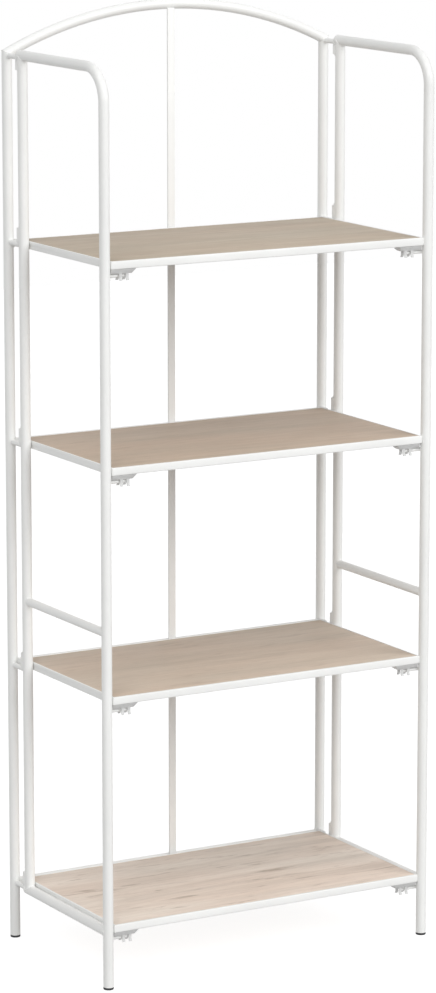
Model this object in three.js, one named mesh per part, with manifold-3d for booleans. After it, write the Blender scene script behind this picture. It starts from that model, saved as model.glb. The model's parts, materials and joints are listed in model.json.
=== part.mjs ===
// Folding bookcase: a hinged steel-tube frame with four fold-up shelves.
// Millimetres. +X right, +Y to the back, +Z up. The origin is on the floor, midway between the legs.
import * as THREE from "three";
import { mergeVertices } from "three/addons/utils/BufferGeometryUtils.js";
import Module from "manifold-3d";

const wasm = await Module();
wasm.setup();

// Frame: places of the tubes' centre lines.
const postSpacing = 600;
const backPostToRearPost = 55;
const rearPostToLeg = 275;
const topRailHeight = 1487.5;
const archSpringDrop = 0.5;
const archRise = 69;
const hoopBendRadius = 54;
const midRailHeight = 590;
const bottomRailHeight = 95.7;

// Frame: sections.
const tubeDiameter = 17;
const tubeWall = 1;
const midRailDiameter = 14;
const midRailWall = 1;
const crossRailDiameter = 12;
const crossRailWall = 1;
const crossRailDrop = 9;
const slatWidth = 13;
const slatThickness = 3;

// Seats: the gap at a weld or a rest, and how far a cutting body runs past what it cuts.
const seatGap = 0.3;
const cutOverrun = 5;

// Shelves.
const shelf1Top = 1186.4;
const shelf2Top = 857.7;
const shelf3Top = 485;
const shelf4Top = 106.7;
const shelfSideGap = 0.8;
const shelfAheadOfLeg = 4.3;
const barThickness = 3.3;
const ledgeWidth = 10;
const ledgeThickness = 1.8;
const boardThickness = 10.4;
const boardRecess = 0.5;

// Shelf pivots.
const pivotAheadOfPost = 24;
const barBehindPivot = 7.2;
const pivotDiameter = 5;
const pivotPlay = 0.25;
const pivotShoulderDiameter = 9;
const pivotHeadDiameter = 7.2;
const pivotHeadThickness = 2;
const pivotNotchPlay = 0.5;
const lugThickness = 3;
const lugHeight = 12;
const lugInset = 0.7;
const lugFrontMargin = 5;

// Pegs on the front legs, and the clips that hold them.
const pegDiameter = 6.2;
const pegReach = 29.5;
const pegBehindLeg = 7.5;
const clipLength = 44;
const clipBehindPeg = 7;
const clipAheadOfPeg = 9.5;
const clipBaseHeight = 7.8;
const clipInset = 1.7;
const clipChamfer = 6;
const clipFrontBevel = 3.6;
const fingerWidth = 4.8;
const fingerThickness = 1.6;
const fingerPitch = 12;
const fingerInset = 18;
const fingerLength = 7;
const rearFingerPlay = 0.6;
const frontFingerPlay = 1.7;
const lipHeight = 4;
const lipFlare = 1.9;

// Side-frame hinges. The top two hang from the top rail, the others have their own heights.
const hinge1Drop = 3.5;
const hinge2Drop = 303.7;
const hinge3Height = 849.7;
const hinge4Height = 472.4;
const hinge5Height = 96;
const stubDiameter = 8.6;
const stubBendRadius = 4.6;
const stubShoulderRise = 4.7;
const hingePinDiameter = 6;
const hingePinPlay = 0.4;
const sleeveDiameter = 10.5;
const sleeveLength = 22.5;
const tipLength = 3.5;
const topSleeveLength = 15.5;
const topKnobDiameter = 10;
const topKnobBelow = 4.7;
const topKnobAbove = 5;

// Feet.
const footPadHeight = 3.5;
const footStemLength = 20;

// Counts and shares.
const tubeSides = 20;
const boreSides = 12;
const pinSides = 12;
const bendSteps = 8;
const elbowSteps = 4;
const archSteps = 16;
const tipShare = 0.55;
const mergeTolerance = 1e-4;

// Derived places.
const tubeRadius = tubeDiameter / 2;
const boreRadius = tubeRadius - tubeWall;
const copeRadius = tubeRadius + seatGap;
const postX = postSpacing / 2;
const archSpringHeight = topRailHeight - archSpringDrop;
const backY = (backPostToRearPost + rearPostToLeg) / 2;
const rearPostY = backY - backPostToRearPost;
const legY = -backY;
const tubeBottom = footPadHeight + seatGap;
const railRearY = rearPostY + tubeRadius;
const sleeveRadius = sleeveDiameter / 2;
const hingeY = rearPostY + tubeRadius + seatGap + sleeveRadius;

const shelfHalfWidth = postX - tubeRadius - shelfSideGap;
const shelfFrontY = legY - shelfAheadOfLeg;
const pivotY = backY - pivotAheadOfPost;
const shelfRearY = pivotY + barBehindPivot;
const barHeight = boardRecess + boardThickness + seatGap + ledgeThickness;
const pivotDrop = barHeight / 2;
const lugInnerX = postX - tubeRadius + lugInset;
const lugOuterX = lugInnerX + lugThickness;
const pegRadius = pegDiameter / 2;
const pegY = legY + pegBehindLeg;
const pegDrop = barHeight + seatGap + clipBaseHeight + seatGap + pegRadius;
const clipOuterX = shelfHalfWidth - clipInset;

const sides = [["left", -1], ["right", 1]];
const shelfTops = [shelf1Top, shelf2Top, shelf3Top, shelf4Top];
const hinge1Height = topRailHeight - hinge1Drop;
const hinge2Height = hinge1Height - hinge2Drop;
const hingeHeights = [hinge1Height, hinge2Height, hinge3Height, hinge4Height, hinge5Height];

const xAxis = new THREE.Vector3(1, 0, 0);
const at = (x, y, z) => new THREE.Vector3(x, y, z);

// Materials.
const coat = { color: 0xf1f1ee, roughness: 0.4, metalness: 0 };
const oak = { color: 0xcbb8a6, roughness: 0.6, metalness: 0 };
const darkRubber = { color: 0x2b2b2c, roughness: 0.7, metalness: 0 };
const clipPlastic = { color: 0xd9d9d6, roughness: 0.5, metalness: 0 };

const bookcase = new THREE.Group();
bookcase.name = "folding_bookcase";

// A path that is stepped at its own points, so that a straight run takes one step.
class SteppedPath extends THREE.Curve {
  constructor(points, tangents) {
    super();
    this.points = points;
    this.tangents = tangents;
  }

  getUtoTmapping(u) {
    return u;
  }

  getPoint(t) {
    const place = t * (this.points.length - 1);
    const index = Math.min(Math.floor(place), this.points.length - 2);
    return this.points[index].clone().lerp(this.points[index + 1], place - index);
  }

  getTangent(t) {
    return this.tangents[Math.round(t * (this.points.length - 1))].clone();
  }
}

function straightPath(start, end) {
  const along = end.clone().sub(start).normalize();
  return new SteppedPath([start, end], [along, along]);
}

// From start to end by way of a corner that is rounded to the radius.
function bentPath(start, corner, end, radius, steps) {
  const into = corner.clone().sub(start).normalize();
  const out = end.clone().sub(corner).normalize();
  const turn = into.angleTo(out);
  const setback = radius * Math.tan(turn / 2);
  const bendStart = corner.clone().addScaledVector(into, -setback);
  const inward = out.clone().addScaledVector(into, -into.dot(out)).normalize();
  const points = [start];
  const tangents = [into];
  for (let step = 0; step <= steps; step++) {
    const angle = (turn * step) / steps;
    const forward = into.clone().multiplyScalar(radius * Math.sin(angle));
    const sideways = inward.clone().multiplyScalar(radius * (1 - Math.cos(angle)));
    points.push(bendStart.clone().add(forward).add(sideways));
    tangents.push(into.clone().multiplyScalar(Math.cos(angle)).addScaledVector(inward, Math.sin(angle)));
  }
  points.push(end);
  tangents.push(out);
  return new SteppedPath(points, tangents);
}

function circlePoints(radius, count) {
  const points = [];
  for (let index = 0; index < count; index++) {
    const angle = (2 * Math.PI * index) / count;
    points.push(new THREE.Vector2(radius * Math.cos(angle), radius * Math.sin(angle)));
  }
  return points;
}

// A closed geometry as a solid that can be cut and joined.
function solidOf(geometry) {
  const loose = geometry.index ? geometry.toNonIndexed() : geometry;
  const bare = new THREE.BufferGeometry();
  bare.setAttribute("position", loose.getAttribute("position"));
  const merged = mergeVertices(bare, mergeTolerance);
  return new wasm.Manifold(
    new wasm.Mesh({
      numProp: 3,
      vertProperties: merged.attributes.position.array,
      triVerts: new Uint32Array(merged.index.array),
    }),
  );
}

function addNode(name, solid, look) {
  const cut = solid.getMesh();
  const geometry = new THREE.BufferGeometry();
  geometry.setAttribute("position", new THREE.BufferAttribute(cut.vertProperties, cut.numProp));
  geometry.setIndex(new THREE.BufferAttribute(cut.triVerts, 1));
  const mesh = new THREE.Mesh(geometry, new THREE.MeshStandardMaterial({ ...look, flatShading: true }));
  mesh.name = name;
  bookcase.add(mesh);
}

function bar(path, radius, count) {
  return solidOf(
    new THREE.ExtrudeGeometry(new THREE.Shape(circlePoints(radius, count)), {
      steps: path.points.length - 1,
      bevelEnabled: false,
      extrudePath: path,
    }),
  );
}

function roundBar(start, end, radius, count) {
  return bar(straightPath(start, end), radius, count);
}

// An open tube from start to end.
function roundTube(start, end, radius, wall) {
  const past = end.clone().sub(start).normalize().multiplyScalar(cutOverrun);
  const bore = roundBar(start.clone().sub(past), end.clone().add(past), radius - wall, boreSides);
  return roundBar(start, end, radius, tubeSides).subtract(bore);
}

function box(lowX, highX, lowY, highY, lowZ, highZ) {
  const geometry = new THREE.BoxGeometry(Math.abs(highX - lowX), highY - lowY, highZ - lowZ);
  geometry.translate((lowX + highX) / 2, (lowY + highY) / 2, (lowZ + highZ) / 2);
  return solidOf(geometry);
}

// A body of revolution about the direction: its outline is distances along it with radii.
function turned(outline, base, direction, count) {
  const geometry = new THREE.LatheGeometry(
    outline.map(([along, radius]) => new THREE.Vector2(radius, along)),
    count,
  );
  geometry.applyQuaternion(new THREE.Quaternion().setFromUnitVectors(at(0, 1, 0), direction));
  geometry.translate(base.x, base.y, base.z);
  return solidOf(geometry);
}

// The half of space behind a mitre plane, as a block that covers one tube's end.
function mitreBlock(point, normal) {
  const reach = tubeDiameter + cutOverrun;
  const geometry = new THREE.BoxGeometry(2 * reach, 2 * reach, 2 * reach);
  geometry.translate(0, 0, reach);
  geometry.applyQuaternion(new THREE.Quaternion().setFromUnitVectors(at(0, 0, 1), normal));
  geometry.translate(point.x, point.y, point.z);
  return solidOf(geometry);
}

// The arch's circle passes through both posts' tops and the apex.
const archRadius = (postX * postX + archRise * archRise) / (2 * archRise);
const archHalfAngle = Math.asin(postX / archRadius);
const archCentreHeight = archSpringHeight + archRise - archRadius;

function archPoint(angle) {
  return at(archRadius * Math.sin(angle), backY, archCentreHeight + archRadius * Math.cos(angle));
}

function archTangent(angle) {
  return at(Math.cos(angle), 0, -Math.sin(angle));
}

// The arch's centre line, run straight on past both mitres.
function archPath() {
  const points = [];
  const tangents = [];
  for (let step = 0; step <= archSteps; step++) {
    const angle = archHalfAngle * ((2 * step) / archSteps - 1);
    points.push(archPoint(angle));
    tangents.push(archTangent(angle));
  }
  const first = tangents[0];
  const last = tangents[archSteps];
  points.unshift(points[0].clone().addScaledVector(first, -tubeDiameter));
  tangents.unshift(first);
  points.push(points[points.length - 1].clone().addScaledVector(last, tubeDiameter));
  tangents.push(last);
  return new SteppedPath(points, tangents);
}

// Where a post meets the arch: the corner, and the mitre's normal, up and towards the arch.
function archCorner(side) {
  const inward = archTangent(side * archHalfAngle).multiplyScalar(-side);
  return { point: archPoint(side * archHalfAngle), normal: inward.add(at(0, 0, 1)).normalize() };
}

function mitreCut(side, sense) {
  const { point, normal } = archCorner(side);
  const away = normal.clone().multiplyScalar(sense);
  return mitreBlock(point.clone().addScaledVector(away, -seatGap / 2), away);
}

function backArch() {
  const path = archPath();
  const bore = bar(path, boreRadius, boreSides);
  return bar(path, tubeRadius, tubeSides).subtract(bore).subtract(mitreCut(-1, -1)).subtract(mitreCut(1, -1));
}

// The lug plate that stands forward of the post, grown all round by a clearance.
function lugPlate(side, shelfTop, clearance) {
  const height = shelfTop - pivotDrop;
  const reach = lugHeight / 2 + clearance;
  return box(
    side * (lugInnerX - clearance),
    side * (lugOuterX + clearance),
    pivotY - lugFrontMargin - clearance,
    backY,
    height - reach,
    height + reach,
  );
}

// A lug plate with the pin that carries one rear corner of a shelf.
function shelfPivot(side, shelfTop) {
  const height = shelfTop - pivotDrop;
  const lug = lugPlate(side, shelfTop, 0);
  const shoulderEnd = lugOuterX - shelfHalfWidth - seatGap;
  const headStart = lugOuterX - (shelfHalfWidth - barThickness - seatGap);
  const headEnd = headStart + pivotHeadThickness;
  const pin = turned(
    [
      [0, 0],
      [0, pivotShoulderDiameter / 2],
      [shoulderEnd, pivotShoulderDiameter / 2],
      [shoulderEnd, pivotDiameter / 2],
      [headStart, pivotDiameter / 2],
      [headStart, pivotHeadDiameter / 2],
      [headEnd, pivotHeadDiameter / 2],
      [headEnd, 0],
    ],
    at(side * lugOuterX, pivotY, height),
    xAxis.clone().multiplyScalar(-side),
    pinSides,
  );
  return lug.add(pin);
}

// A back post, cut to the arch's mitre, with its pivot lugs welded on.
function backPost(side) {
  const foot = at(side * postX, backY, tubeBottom);
  const top = at(side * postX, backY, archSpringHeight + tubeDiameter);
  let post = roundBar(foot, top, tubeRadius, tubeSides);
  for (const shelfTop of shelfTops) post = post.add(shelfPivot(side, shelfTop));
  const past = at(0, 0, cutOverrun);
  const bore = roundBar(foot.clone().sub(past), top.clone().add(past), boreRadius, boreSides);
  return post.subtract(bore).subtract(mitreCut(side, 1));
}

function crossRail(shelfTop) {
  const height = shelfTop - crossRailDrop;
  const start = at(-postX, backY, height);
  const end = at(postX, backY, height);
  let rail = roundTube(start, end, crossRailDiameter / 2, crossRailWall);
  for (const [, side] of sides) {
    rail = rail.subtract(
      roundBar(
        at(side * postX, backY, height - tubeDiameter),
        at(side * postX, backY, height + tubeDiameter),
        copeRadius,
        tubeSides,
      ),
    );
    rail = rail.subtract(lugPlate(side, shelfTop, seatGap));
  }
  return rail;
}

// The flat centre upright stands on the front of the cross rails and ends under the arch.
function centreSlat() {
  const rearY = backY - crossRailDiameter / 2 - seatGap;
  const ahead = backY - rearY;
  const underArch = Math.sqrt(copeRadius * copeRadius - ahead * ahead);
  const bottom = shelf4Top - crossRailDrop - crossRailDiameter / 2;
  const top = archSpringHeight + archRise - underArch;
  return box(-slatWidth / 2, slatWidth / 2, rearY - slatThickness, rearY, bottom, top);
}

function post(side, y, lowZ, highZ, radius) {
  return roundBar(at(side * postX, y, lowZ), at(side * postX, y, highZ), radius, tubeSides);
}

// An L-shaped hinge rod: a stub out of the back post, a rounded elbow and an upright pin with a tapered tip.
function hingeRod(side, height) {
  const corner = at(side * postX, hingeY, height);
  const shoulder = at(side * postX, hingeY, height + stubShoulderRise);
  const stub = bar(
    bentPath(at(side * postX, backY, height), corner, shoulder, stubBendRadius, elbowSteps),
    stubDiameter / 2,
    pinSides,
  );
  const pinRadius = hingePinDiameter / 2;
  const pinEnd = seatGap + sleeveLength + seatGap;
  const pin = turned(
    [
      [-seatGap, 0],
      [-seatGap, pinRadius],
      [pinEnd, pinRadius],
      [pinEnd + tipLength, pinRadius * tipShare],
      [pinEnd + tipLength, 0],
    ],
    shoulder,
    at(0, 0, 1),
    pinSides,
  );
  const cope = post(side, backY, height - tubeDiameter, height + tubeDiameter, copeRadius);
  return stub.add(pin).subtract(cope);
}

// The top hinge's rod ends in an upright knob, and its pin turns down into the sleeve.
function topHingeRod(side) {
  const height = hinge1Height;
  const root = at(side * postX, backY, height);
  const stub = roundBar(root, at(side * postX, hingeY, height), stubDiameter / 2, pinSides);
  const pinRadius = hingePinDiameter / 2;
  const knobRadius = topKnobDiameter / 2;
  const pinEnd = seatGap + topSleeveLength + seatGap;
  const knob = turned(
    [
      [-pinEnd - tipLength, 0],
      [-pinEnd - tipLength, pinRadius * tipShare],
      [-pinEnd, pinRadius],
      [0, pinRadius],
      [0, knobRadius],
      [topKnobBelow + topKnobAbove - seatGap, knobRadius],
      [topKnobBelow + topKnobAbove, knobRadius - seatGap],
      [topKnobBelow + topKnobAbove, 0],
    ],
    at(side * postX, hingeY, height - topKnobBelow),
    at(0, 0, 1),
    pinSides,
  );
  const cope = post(side, backY, height - tubeDiameter, height + tubeDiameter, copeRadius);
  return stub.add(knob).subtract(cope).subtract(bar(archPath(), copeRadius, tubeSides));
}

function hingeSleeve(side, lowZ, length) {
  return turned(
    [
      [0, hingePinDiameter / 2 + hingePinPlay],
      [0, sleeveRadius],
      [length, sleeveRadius],
      [length, hingePinDiameter / 2 + hingePinPlay],
      [0, hingePinDiameter / 2 + hingePinPlay],
    ],
    at(side * postX, hingeY, lowZ),
    at(0, 0, 1),
    pinSides,
  );
}

// The hoop: top rail with a closed rear end, front bend and leg, with its pegs welded to the leg.
function sideHoop(side) {
  const foot = at(side * postX, legY, tubeBottom);
  const corner = at(side * postX, legY, topRailHeight);
  const end = at(side * postX, railRearY, topRailHeight);
  let hoop = bar(bentPath(foot, corner, end, hoopBendRadius, bendSteps), tubeRadius, tubeSides);
  for (const shelfTop of shelfTops) {
    const height = shelfTop - pegDrop;
    const innerX = postX - tubeRadius - pegReach;
    const pegTip = at(side * innerX, pegY, height);
    const pegRoot = at(side * (postX - tubeWall), pegY, height);
    hoop = hoop.add(roundBar(pegTip, pegRoot, pegRadius, pinSides));
  }
  const boreFoot = foot.clone().sub(at(0, 0, cutOverrun));
  const boreEnd = at(side * postX, railRearY - tubeWall, topRailHeight);
  const borePath = bentPath(boreFoot, corner, boreEnd, hoopBendRadius, bendSteps);
  return hoop.subtract(bar(borePath, boreRadius, boreSides));
}

function rearPost(side) {
  const low = at(side * postX, rearPostY, bottomRailHeight);
  const high = at(side * postX, rearPostY, topRailHeight);
  let upright = roundTube(low, high, tubeRadius, tubeWall);
  for (const height of [bottomRailHeight, topRailHeight]) {
    upright = upright.subtract(
      roundBar(
        at(side * postX, rearPostY - tubeDiameter, height),
        at(side * postX, rearPostY + tubeDiameter, height),
        copeRadius,
        tubeSides,
      ),
    );
  }
  return upright;
}

function midRail(side) {
  const rail = roundTube(
    at(side * postX, legY, midRailHeight),
    at(side * postX, rearPostY, midRailHeight),
    midRailDiameter / 2,
    midRailWall,
  );
  const low = midRailHeight - tubeDiameter;
  const high = midRailHeight + tubeDiameter;
  const frontCope = post(side, legY, low, high, copeRadius);
  return rail.subtract(frontCope).subtract(post(side, rearPostY, low, high, copeRadius));
}

function bottomRail(side) {
  const start = at(side * postX, legY, bottomRailHeight);
  const outside = roundBar(start, at(side * postX, railRearY, bottomRailHeight), tubeRadius, tubeSides);
  const boreEnd = at(side * postX, railRearY - tubeWall, bottomRailHeight);
  const bore = roundBar(start, boreEnd, boreRadius, boreSides);
  const cope = post(side, legY, bottomRailHeight - tubeDiameter, bottomRailHeight + tubeDiameter, copeRadius);
  return outside.subtract(bore).subtract(cope);
}

// A dark foot: a pad under the tube and a stem up its bore.
function foot(side, y) {
  const padRadius = tubeRadius;
  const stemRadius = boreRadius - seatGap;
  return turned(
    [
      [0, 0],
      [0, padRadius - seatGap],
      [seatGap, padRadius],
      [footPadHeight, padRadius],
      [footPadHeight, stemRadius],
      [footPadHeight + footStemLength, stemRadius],
      [footPadHeight + footStemLength, 0],
    ],
    at(side * postX, y, 0),
    at(0, 0, 1),
    tubeSides,
  );
}

function rectangle(halfWidth, lowY, highY) {
  return [
    new THREE.Vector2(-halfWidth, lowY),
    new THREE.Vector2(halfWidth, lowY),
    new THREE.Vector2(halfWidth, highY),
    new THREE.Vector2(-halfWidth, highY),
  ];
}

// A rectangular ring of the shelf's outline, as wide as the inset.
function shelfRing(inset, lowZ, height) {
  const outline = new THREE.Shape(rectangle(shelfHalfWidth, shelfFrontY, shelfRearY));
  outline.holes.push(
    new THREE.Path(rectangle(shelfHalfWidth - inset, shelfFrontY + inset, shelfRearY - inset).reverse()),
  );
  const geometry = new THREE.ExtrudeGeometry(outline, { depth: height, bevelEnabled: false });
  geometry.translate(0, 0, lowZ);
  return solidOf(geometry);
}

// The shelf's angle-bar frame, with a hole through each side bar for the pivot pin.
function shelfFrame(shelfTop) {
  const bottom = shelfTop - barHeight;
  const rim = shelfRing(barThickness, bottom, barHeight);
  const ledge = shelfRing(barThickness + ledgeWidth, bottom, ledgeThickness);
  const hole = roundBar(
    at(-postX, pivotY, shelfTop - pivotDrop),
    at(postX, pivotY, shelfTop - pivotDrop),
    pivotDiameter / 2 + pivotPlay,
    pinSides,
  );
  return rim.add(ledge).subtract(hole);
}

// The board lies on the ledge, with a notch under its edge for each pivot pin's head.
function shelfBoard(shelfTop) {
  const inset = barThickness + seatGap;
  const top = shelfTop - boardRecess;
  const low = top - boardThickness;
  const halfWidth = shelfHalfWidth - inset;
  let board = box(-halfWidth, halfWidth, shelfFrontY + inset, shelfRearY - inset, low, top);
  const reach = pivotHeadDiameter / 2 + pivotNotchPlay;
  const depth = pivotHeadThickness + pivotNotchPlay;
  for (const [, side] of sides) {
    board = board.subtract(
      box(
        side * (halfWidth - depth),
        side * (halfWidth + cutOverrun),
        pivotY - reach,
        pivotY + reach,
        low - cutOverrun,
        shelfTop - pivotDrop + reach,
      ),
    );
  }
  return board;
}

// An outline in Y and Z, run along X from one place to another.
function slab(outline, lowX, highX) {
  const shape = new THREE.Shape(outline.map(([y, z]) => new THREE.Vector2(y, z)));
  const geometry = new THREE.ExtrudeGeometry(shape, {
    depth: highX - lowX,
    bevelEnabled: false,
  });
  geometry.rotateX(Math.PI / 2);
  geometry.rotateZ(Math.PI / 2);
  geometry.translate(lowX, 0, 0);
  return solidOf(geometry);
}

// One spring finger, from inside the base down to its flared lip.
// Sense is +1 behind the peg and -1 ahead of it.
function finger(centreX, sense, play, baseTop, baseBottom) {
  const inner = pegY + sense * (pegRadius + play);
  const outer = inner + sense * fingerThickness;
  const bend = baseBottom - fingerLength;
  const tip = bend - lipHeight;
  const outline = [
    [inner, (baseTop + baseBottom) / 2],
    [inner, bend],
    [inner + sense * lipFlare, tip],
    [outer + sense * lipFlare, tip],
    [outer, bend],
    [outer, (baseTop + baseBottom) / 2],
  ];
  if (sense < 0) outline.reverse();
  return slab(outline, centreX - fingerWidth / 2, centreX + fingerWidth / 2);
}

// A snap clip: a base under the shelf's front corner and two pairs of fingers.
// The base is chamfered at its inner end and bevelled under its front edge.
function shelfClip(side, shelfTop) {
  const top = shelfTop - barHeight - seatGap;
  const bottom = top - clipBaseHeight;
  const innerX = clipOuterX - clipLength;
  const outline = new THREE.Shape(
    [
      [side * clipOuterX, top],
      [side * innerX, top],
      [side * innerX, (top + bottom) / 2],
      [side * (innerX + clipChamfer), bottom],
      [side * clipOuterX, bottom],
    ].map(([x, z]) => new THREE.Vector2(x, z)),
  );
  const geometry = new THREE.ExtrudeGeometry(outline, {
    depth: clipAheadOfPeg + clipBehindPeg,
    bevelEnabled: false,
  });
  geometry.rotateX(Math.PI / 2);
  geometry.translate(0, pegY + clipBehindPeg, 0);
  const frontY = pegY - clipAheadOfPeg;
  const corner = [
    [frontY - cutOverrun, bottom - cutOverrun],
    [frontY + clipFrontBevel + cutOverrun, bottom - cutOverrun],
    [frontY - cutOverrun, bottom + clipFrontBevel + cutOverrun],
  ];
  let clip = solidOf(geometry).subtract(slab(corner, -shelfHalfWidth, shelfHalfWidth));
  for (const centre of [clipOuterX - fingerInset, clipOuterX - fingerInset - fingerPitch]) {
    clip = clip.add(finger(side * centre, 1, rearFingerPlay, top, bottom));
    clip = clip.add(finger(side * centre, -1, frontFingerPlay, top, bottom));
  }
  return clip;
}

addNode("back_arch", backArch(), coat);
addNode("back_centre_upright", centreSlat(), coat);
shelfTops.forEach((shelfTop, index) => addNode("back_cross_rail_" + (index + 1), crossRail(shelfTop), coat));

for (const [word, side] of sides) {
  addNode("back_post_" + word, backPost(side), coat);
  addNode("back_foot_" + word, foot(side, backY), darkRubber);
  addNode("side_hoop_" + word, sideHoop(side), coat);
  addNode("side_rear_post_" + word, rearPost(side), coat);
  addNode("side_mid_rail_" + word, midRail(side), coat);
  addNode("side_bottom_rail_" + word, bottomRail(side), coat);
  addNode("front_foot_" + word, foot(side, legY), darkRubber);
  hingeHeights.forEach((height, index) => {
    const isTop = index === 0;
    const rod = isTop ? topHingeRod(side) : hingeRod(side, height);
    const sleeve = isTop
      ? hingeSleeve(side, height - topKnobBelow - seatGap - topSleeveLength, topSleeveLength)
      : hingeSleeve(side, height + stubShoulderRise + seatGap, sleeveLength);
    addNode("hinge_rod_" + word + "_" + (index + 1), rod, coat);
    addNode("hinge_sleeve_" + word + "_" + (index + 1), sleeve, coat);
  });
}

shelfTops.forEach((shelfTop, index) => {
  const number = index + 1;
  addNode("shelf_frame_" + number, shelfFrame(shelfTop), coat);
  addNode("shelf_board_" + number, shelfBoard(shelfTop), oak);
  for (const [word, side] of sides) {
    addNode("shelf_clip_" + number + "_" + word, shelfClip(side, shelfTop), clipPlastic);
  }
});

export default bookcase;
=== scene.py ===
# %% [markdown]
# # A folding bookcase in white tube and pale oak
# The bookcase is a back frame with an arched top, two side frames that swing on L-shaped pins, and
# four shelves that turn up on pins of their own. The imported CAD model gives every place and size.
# This script gives each piece its finished surface: smooth tube, weld beads, rounded edges, grain.
# Everything is in metres, in the part's frame: +X right, +Y to the back, +Z up.

# %% Load the CAD model
import json
import math

import bmesh
import bpy
from mathutils import Matrix, Vector

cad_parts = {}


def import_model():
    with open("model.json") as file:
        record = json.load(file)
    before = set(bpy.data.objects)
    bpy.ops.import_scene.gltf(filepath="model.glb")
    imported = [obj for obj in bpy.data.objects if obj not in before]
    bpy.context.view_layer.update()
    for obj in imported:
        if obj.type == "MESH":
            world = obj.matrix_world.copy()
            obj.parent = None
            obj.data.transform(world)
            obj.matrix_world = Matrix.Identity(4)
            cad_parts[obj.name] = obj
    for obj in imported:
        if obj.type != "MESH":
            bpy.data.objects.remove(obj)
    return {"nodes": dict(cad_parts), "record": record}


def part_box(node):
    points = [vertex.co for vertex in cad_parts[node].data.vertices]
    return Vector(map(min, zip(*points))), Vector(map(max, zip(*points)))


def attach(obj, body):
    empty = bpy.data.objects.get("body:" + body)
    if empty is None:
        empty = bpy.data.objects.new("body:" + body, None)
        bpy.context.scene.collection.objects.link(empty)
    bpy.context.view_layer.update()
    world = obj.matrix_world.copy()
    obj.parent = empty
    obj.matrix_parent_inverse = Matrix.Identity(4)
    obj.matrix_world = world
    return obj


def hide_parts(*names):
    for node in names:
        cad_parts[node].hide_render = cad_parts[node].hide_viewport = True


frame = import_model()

MM = 0.001
scene = bpy.context.scene
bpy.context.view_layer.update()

# %% [markdown]
# ## Sizes that the CAD nodes already hold
# A size could be typed a second time here, but then the two scripts could drift apart. So the centre
# lines and radii are read from the boxes of the CAD nodes, and only what a box can't tell is typed,
# where it is first needed. Both sides of the bookcase are alike, so the right one is measured for both.

# %% Tube radii and centre lines
SIDES = (("left", -1), ("right", 1))
SHELVES = (1, 2, 3, 4)
X, Y, Z = 0, 1, 2
RIGHT = Vector((1, 0, 0))
BACK = Vector((0, 1, 0))
UP = Vector((0, 0, 1))


def half_and_middle(node, axis):
    """Half of a CAD node's extent along an axis, and its middle."""
    low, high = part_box(node)
    return (high[axis] - low[axis]) / 2, (high[axis] + low[axis]) / 2


TUBE_R, POST_X = half_and_middle("side_rear_post_right", X)
_, REAR_Y = half_and_middle("side_rear_post_right", Y)
MID_R, MID_Z = half_and_middle("side_mid_rail_right", Z)
_, LOW_Z = half_and_middle("side_bottom_rail_right", Z)
CROSS_R, _ = half_and_middle("back_cross_rail_1", Z)
SLEEVE_R, _ = half_and_middle("hinge_sleeve_right_5", X)
_, HINGE_Y = half_and_middle("hinge_sleeve_right_5", Y)

hoop_low, hoop_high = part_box("side_hoop_right")
LEG_Y = hoop_low.y + TUBE_R
BACK_Y = -LEG_Y
RAIL_END_Y = hoop_high.y
TUBE_FOOT = hoop_low.z
TOP_Z = hoop_high.z - TUBE_R
ARCH_TOP_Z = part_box("back_arch")[1].z - TUBE_R
print("tube %.1f mm across, posts %.0f mm apart" % (2 * TUBE_R / MM, 2 * POST_X / MM))

# %% [markdown]
# ## A small kit for shaders
# Every finish here is procedural: noise on Object coordinates, bent by a colour ramp or a range. Image
# textures would be quicker, but they need a UV map and show their size close up, and noise has neither
# fault. The helpers only save typing: each adds its nodes and links them.


# %% Materials, coordinates and noise
def new_material(name):
    """An empty material with a Principled shader wired to its output."""
    material = bpy.data.materials.new(name)
    material.use_nodes = True
    tree = material.node_tree
    tree.nodes.clear()
    out = tree.nodes.new("ShaderNodeOutputMaterial")
    shader = tree.nodes.new("ShaderNodeBsdfPrincipled")
    tree.links.new(shader.outputs["BSDF"], out.inputs["Surface"])
    return material, tree, shader


def stretched(tree, scale, shift=(0, 0, 0)):
    """Object coordinates, scaled along each axis and then moved."""
    place = tree.nodes.new("ShaderNodeTexCoord")
    mapping = tree.nodes.new("ShaderNodeMapping")
    mapping.inputs["Location"].default_value = shift
    mapping.inputs["Scale"].default_value = scale
    tree.links.new(place.outputs["Object"], mapping.inputs["Vector"])
    return mapping.outputs["Vector"]


def noise(tree, vector, scale, detail=4.0, roughness=0.55, distortion=0.0):
    """A noise from 0 to 1 over the coordinates."""
    node = tree.nodes.new("ShaderNodeTexNoise")
    node.inputs["Scale"].default_value = scale
    node.inputs["Detail"].default_value = detail
    node.inputs["Roughness"].default_value = roughness
    node.inputs["Distortion"].default_value = distortion
    tree.links.new(vector, node.inputs["Vector"])
    return node.outputs["Fac"]


test_material, test_tree, _ = new_material("test")
noise(test_tree, stretched(test_tree, (1, 1, 1)), 1)
print("a material with one noise has", len(test_tree.nodes), "nodes")
bpy.data.materials.remove(test_material)

# %% [markdown]
# ## From noise to colour, gloss and relief
# A noise gives one number at each point. A ramp turns it into a colour, a range into a roughness, and
# a bump node into slopes that catch the light. Displacement would make real relief, but it would take
# millions of faces for marks that are a few hundredths of a millimetre deep.

# %% Ramps, ranges and bumps
NOISE_LOW = 0.3
NOISE_HIGH = 0.7


def ramp(tree, value, stops):
    """A colour ramp through (place, colour) stops."""
    node = tree.nodes.new("ShaderNodeValToRGB")
    elements = node.color_ramp.elements
    while len(elements) < len(stops):
        elements.new(0.5)
    for element, (place, colour) in zip(elements, stops):
        element.position = place
        element.color = (*colour, 1)
    tree.links.new(value, node.inputs["Fac"])
    return node.outputs["Color"]


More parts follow.
